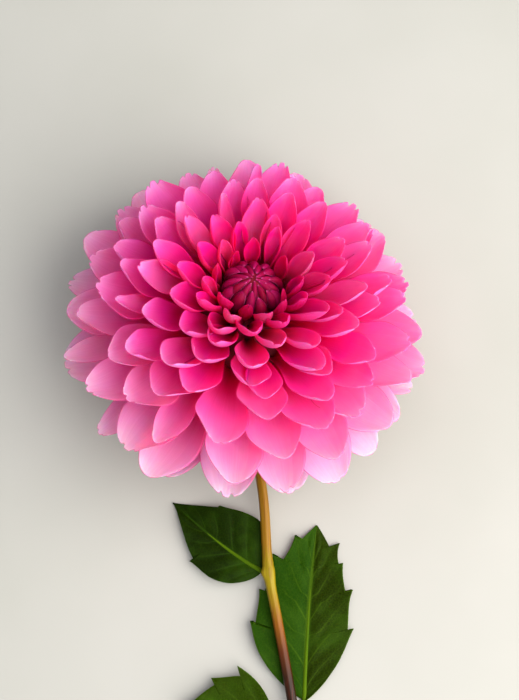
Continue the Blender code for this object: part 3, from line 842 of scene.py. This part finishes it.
def leaf_margin(leaf, side, v):
    """How far a leaf's margin stands from its midrib on one side, and how much of that is tooth."""
    broad = leaf["broad_at"][side]
    rising = np.sin(math.pi / 2 * np.clip(v / broad, 0.0, 1.0)) ** leaf["base_powers"][side]
    ahead = np.clip((v - broad) / (1.0 - broad), 0.0, 1.0)
    falling = np.cos(math.pi / 2 * ahead) ** leaf["tip_powers"][side]
    toothed = 0.0 * v
    for tooth, depth in leaf["teeth"][side]:
        before = tooth - v
        toothed = toothed + (before > -0.001) * depth * np.exp(-np.maximum(before, 0.0) / TOOTH_RUN)
    return np.maximum(leaf["half_widths"][side] * rising * falling, LEAF_TIP), toothed


def bezier(points, t):
    """A point on the curve that leaves the first point, bends towards the second, ends at the third."""
    a, b, c = (np.array(point) + np.array(SET_DOWN) for point in points)
    t = np.asarray(t)[..., None]
    return a * (1 - t) ** 2 + b * 2 * t * (1 - t) + c * t**2


def leaf_shape(leaf):
    """A function from (u, v) to the upper face of a leaf, puffed up between its side veins."""
    points = leaf["midrib"]

    def shape(u, v):
        spine = bezier(points, v)
        ahead = bezier(points, v + 0.01) - bezier(points, v - 0.01)
        ahead[..., 2] = 0.0
        ahead /= np.linalg.norm(ahead, axis=-1, keepdims=True)
        right = np.stack([ahead[..., 1], -ahead[..., 0], 0.0 * u], -1)
        margins = [np.stack(leaf_margin(leaf, side, v)) for side in (0, 1)]
        margin, toothed = np.where(u < 0.0, margins[0], margins[1])
        # Only the outermost cells follow the teeth.
        toothed = toothed * smooth_step(0.6, 1.0, np.abs(u))
        out = u * margin + np.sign(u) * toothed
        swept = LEAF_SWEEP * np.abs(out) + TOOTH_HOOK * toothed
        spread = spine + right * out[..., None] + ahead * swept[..., None]
        phase = leaf["veins"] * (v - VEIN_SWEEP * np.abs(u) ** 0.8)
        puffed = np.abs(np.sin(math.pi * phase)) ** 0.7 * smooth_step(0.03, 0.25, np.abs(u))
        puffed = puffed * (1.0 - 0.6 * np.abs(u))
        puffed = puffed * smooth_step(0.0, 0.15, v) * smooth_step(1.0, 0.85, v)
        rolling = LEAF_ROLLING * np.sin(math.tau * (1.7 * v + 0.2 * np.sign(u))) * np.abs(u) ** 2
        fold = LEAF_FOLD * np.abs(out)
        spread[..., 2] += LEAF_PUFF * puffed + rolling + fold
        spread[..., 2] = np.maximum(spread[..., 2], LEAF_THICKNESS + 0.02)
        return spread

    return shape


# ---------------------------------------------------------------- making


def new_grid(name, across, along):
    """A flat grid 2 units square with its own UV map, ready to be bent."""
    bpy.ops.object.select_all(action="DESELECT")
    bpy.ops.mesh.primitive_grid_add(x_subdivisions=across, y_subdivisions=along, size=2.0, calc_uvs=True)
    made = bpy.context.active_object
    made.name = name
    return made


def grid_places(obj):
    """Across (-1 to 1) and along (0 to 1) of every point of a flat grid."""
    flat = np.zeros(len(obj.data.vertices) * 3)
    obj.data.vertices.foreach_get("co", flat)
    flat = flat.reshape(-1, 3)
    return flat[:, 0], (flat[:, 1] + 1.0) / 2.0


def bent_copy(grid, shape, places, numbers):
    """A copy of a flat grid with its own mesh, bent by shape(u, v), with numbers kept on its points."""
    made = grid.copy()
    made.data = grid.data.copy()
    bpy.context.collection.objects.link(made)
    made.data.vertices.foreach_set("co", (shape(*places) * MM).astype(np.float32).ravel())
    for key, value in numbers.items():
        kept = made.data.attributes.new(key, "FLOAT", "POINT")
        kept.data.foreach_set("value", np.full(len(made.data.vertices), value, np.float32))
    return made


def join(pieces, name):
    """Join objects into one, named."""
    bpy.ops.object.select_all(action="DESELECT")
    for piece in pieces:
        piece.select_set(True)
    bpy.context.view_layer.objects.active = pieces[0]
    if len(pieces) > 1:
        bpy.ops.object.join()
    pieces[0].name = name
    pieces[0].data.name = name
    return pieces[0]


def thicken(obj, thickness, shell_material=0, rim_material=0):
    """Give a sheet its thickness, away from the side that it faces."""
    bpy.context.view_layer.objects.active = obj
    solid = obj.modifiers.new("thickness", "SOLIDIFY")
    solid.thickness = thickness * MM
    solid.offset = -1.0
    solid.material_offset = shell_material
    solid.material_offset_rim = rim_material
    bpy.ops.object.modifier_apply(modifier=solid.name)
    bpy.ops.object.shade_smooth()


def weld(obj):
    """Merge the points that a wrapped or turned grid brings together, and face it outwards."""
    bpy.ops.object.select_all(action="DESELECT")
    obj.select_set(True)
    bpy.context.view_layer.objects.active = obj
    bpy.ops.object.mode_set(mode="EDIT")
    bpy.ops.mesh.select_all(action="SELECT")
    bpy.ops.mesh.remove_doubles(threshold=WELD_GAP * MM)
    bpy.ops.mesh.normals_make_consistent(inside=False)
    bpy.ops.object.mode_set(mode="OBJECT")
    bpy.ops.object.shade_smooth()


def dress(obj, materials, node):
    """Give a piece its materials, hang it under the root, and hide the imported part that it stands for.
    """
    obj.data.materials.clear()
    for material in materials:
        obj.data.materials.append(material)
    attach(obj, "root")
    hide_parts(node)
    return obj


def wrapped_solid(name, cells, shape):
    """A closed solid: a grid of cells that shape(u, v) wraps round, welded."""
    grid = new_grid(f"{name}_blank", *cells)
    made = bent_copy(grid, shape, grid_places(grid), {})
    bpy.data.objects.remove(grid)
    made.name = name
    weld(made)
    return made


def turned_solid(name, profile, sides):
    """A closed solid turned about the head's axis."""
    profile = np.array(profile, float)
    rows = len(profile) - 1

    def shape(u, v):
        row = np.rint(v * rows).astype(int)
        radius, height = profile[row, 0], profile[row, 1]
        turn = math.pi * u
        return head_to_world(np.stack([radius * np.cos(turn), radius * np.sin(turn), height], -1))

    return wrapped_solid(name, (sides, rows), shape)


def build_petals():
    """Every ray petal, in three rings, bent from one grid."""
    face, back = petal_face(), petal_back()
    grid = new_grid("petal_blank", *PETAL_CELLS)
    u, v = grid_places(grid)
    places = (np.sign(u) * np.abs(u) ** MARGIN_CROWDING, 1.0 - (1.0 - v) ** TIP_CROWDING)
    for low, high, name in zip(RING_LIMITS, RING_LIMITS[1:], RING_NAMES):
        ring = []
        for number in range(-YOUNG_CUPS, PETALS):
            age = number / (PETALS - 1)
            if low <= age < high:
                numbers = {"petal_age": age, "petal_tint": petal_draw(number)["tint"]}
                ring.append(bent_copy(grid, laid_petal(number), places, numbers))
        petals = join(ring, name)
        dress(petals, (back, face), "bloom")
        thicken(petals, PETAL_THICKNESS, shell_material=1, rim_material=1)
    bpy.data.objects.remove(grid)
    core = turned_solid("receptacle", CORE_PROFILE, TURNED_SIDES)
    dress(core, (receptacle(),), "bloom")


def build_heart():
    """The closed florets of the heart over their dome."""
    tissue = floret_tissue()
    grid = new_grid("floret_blank", *FLORET_CELLS)
    places = grid_places(grid)
    florets = []
    for number in range(HEART_FLORETS):
        rng = random.Random(SEED * 3000 + number)
        numbers = {"petal_tint": rng.uniform(-1.0, 1.0)}
        florets.append(bent_copy(grid, floret_shape(number), places, numbers))
    bpy.data.objects.remove(grid)
    heart = join(florets, "heart_florets")
    dress(heart, (tissue,), "heart")
    thicken(heart, FLORET_THICKNESS)
    lowest = math.acos((HEART_BASE - HEART_CENTRE) / HEART_RADIUS)
    turns = np.linspace(0.0, lowest, DOME_CELLS[1])
    radius = HEART_RADIUS - DOME_GAP
    arc = [(radius * math.sin(turn), HEART_CENTRE + radius * math.cos(turn)) for turn in turns]
    dome = turned_solid("heart_dome", [*arc, (0.0, HEART_BASE)], DOME_CELLS[0])
    # The dome wears the receptacle's dark painted shade, seen in the gaps between the florets.
    dress(dome, (receptacle(),), "heart")


def build_calyx():
    """The cup under the head and its bracts."""
    tissue = bract_tissue()
    grid = new_grid("bract_blank", *BRACT_CELLS)
    places = grid_places(grid)
    bracts = []
    for count, start, form in ((INNER_BRACTS, 0.0, INNER_BRACT), (OUTER_BRACTS, 0.4, OUTER_BRACT)):
        for number in range(count):
            shape = bract_shape(math.tau * (number + start) / count, *form)
            bracts.append(bent_copy(grid, shape, places, {}))
    bpy.data.objects.remove(grid)
    bracts = join(bracts, "bracts")
    dress(bracts, (tissue,), "calyx")
    thicken(bracts, BRACT_THICKNESS)
    cup = turned_solid("calyx_cup", CALYX_PROFILE, TURNED_SIDES)
    dress(cup, (tissue,), "calyx")


def build_stem():
    """The stem as one wrapped grid."""
    stem = wrapped_solid("stem_skin", STEM_CELLS, stem_shape())
    dress(stem, (stem_skin(),), "stem")


def leaf_rows(leaf):
    """Rows along a leaf: even ones, and one on each side of every notch."""
    teeth = {tooth for side in leaf["teeth"] for tooth, _ in side}
    even = np.linspace(0.0, 1.0, LEAF_ROWS + 1 - 2 * len(teeth))
    rows = sorted([*even, *teeth, *(tooth + TOOTH_STEP for tooth in teeth)])
    return np.array(rows)


def rib_shape(leaf, blade):
    """A function from (u, v) to the skin of a leaf's stalk and midrib, sunk in the blade."""
    stalk = [np.array(point) + np.array(SET_DOWN) for point in leaf["petiole"]]
    shares = np.linspace(0.0, RIB_END, RIB_POINTS)
    middle = blade(0.0 * shares, shares) - (0.0, 0.0, RIB_SUNK)
    route = smooth_route([*map(Vector, stalk), *map(Vector, middle)], RIB_CELLS[1] + 1)
    return skin_round(route, lambda row, turn, v: RIB_RADIUS * (RIB_TAPER[0] - RIB_TAPER[1] * v))


def build_leaves():
    """Each leaf: a veined blade and its stalk and midrib."""
    rib_tissue = leaf_tissue("leaf_rib", 1, *RIB_COLOURS)
    for name, leaf in LEAVES.items():
        tissue = leaf_tissue(f"{name}_satin", leaf["veins"], *leaf["colours"])
        grid = new_grid(f"{name}_blank", LEAF_CELLS, LEAF_ROWS)
        u, v = grid_places(grid)
        rows = leaf_rows(leaf)
        v = np.interp(v * LEAF_ROWS, range(len(rows)), rows)
        blade = leaf_shape(leaf)
        obj = bent_copy(grid, blade, (u, v), {})
        bpy.data.objects.remove(grid)
        obj = join([obj], f"{name}_blade")
        dress(obj, (tissue,), name)
        thicken(obj, LEAF_THICKNESS)
        rib = wrapped_solid(f"{name}_rib", RIB_CELLS, rib_shape(leaf, blade))
        dress(rib, (rib_tissue,), name)


# ---------------------------------------------------------------- set


def build_floor():
    """A plain pale floor."""
    bpy.ops.object.select_all(action="DESELECT")
    bpy.ops.mesh.primitive_plane_add(size=FLOOR_SIZE)
    floor = bpy.context.active_object
    floor.name = "floor"
    floor.data.materials.append(floor_paint())


def add_light(name, place, size, power, colour):
    """A large soft light that shines on the flower."""
    data = bpy.data.lights.new(name, "AREA")
    data.shape = "DISK"
    data.size = size
    data.energy = power
    data.color = linear(colour)[:3]
    light = bpy.data.objects.new(name, data)
    bpy.context.collection.objects.link(light)
    light.location = place
    back = Vector(place) - Vector(LIGHT_TARGET)
    light.rotation_euler = back.to_track_quat("Z", "Y").to_euler()


def build_lights():
    """Window-like light from +X, a soft fill from straight above, and a pale studio round them."""
    add_light(*SIDE_LIGHT)
    add_light(*TOP_FILL)
    world = bpy.data.worlds.new("studio")
    bpy.context.scene.world = world
    world.use_nodes = True
    background = world.node_tree.nodes["Background"]
    background.inputs["Color"].default_value = linear(STUDIO_COLOUR)
    background.inputs["Strength"].default_value = STUDIO_STRENGTH
    bpy.context.scene.view_settings.view_transform = "Standard"


def build_camera():
    """A long-lens camera, almost straight above, with the stem's end out of view."""
    back = Vector((0.0, -math.cos(CAMERA_ELEVATION), math.sin(CAMERA_ELEVATION)))
    data = bpy.data.cameras.new("camera")
    data.lens = CAMERA_LENS
    data.sensor_width = CAMERA_SENSOR
    data.clip_start = 0.01
    camera = bpy.data.objects.new("camera", data)
    bpy.context.collection.objects.link(camera)
    camera.location = Vector(CAMERA_AIM) * MM + back * CAMERA_DISTANCE
    camera.rotation_euler = back.to_track_quat("Z", "Y").to_euler()
    bpy.context.scene.camera = camera


build_camera()
build_petals()
build_heart()
build_calyx()
build_stem()
build_leaves()
build_floor()
build_lights()
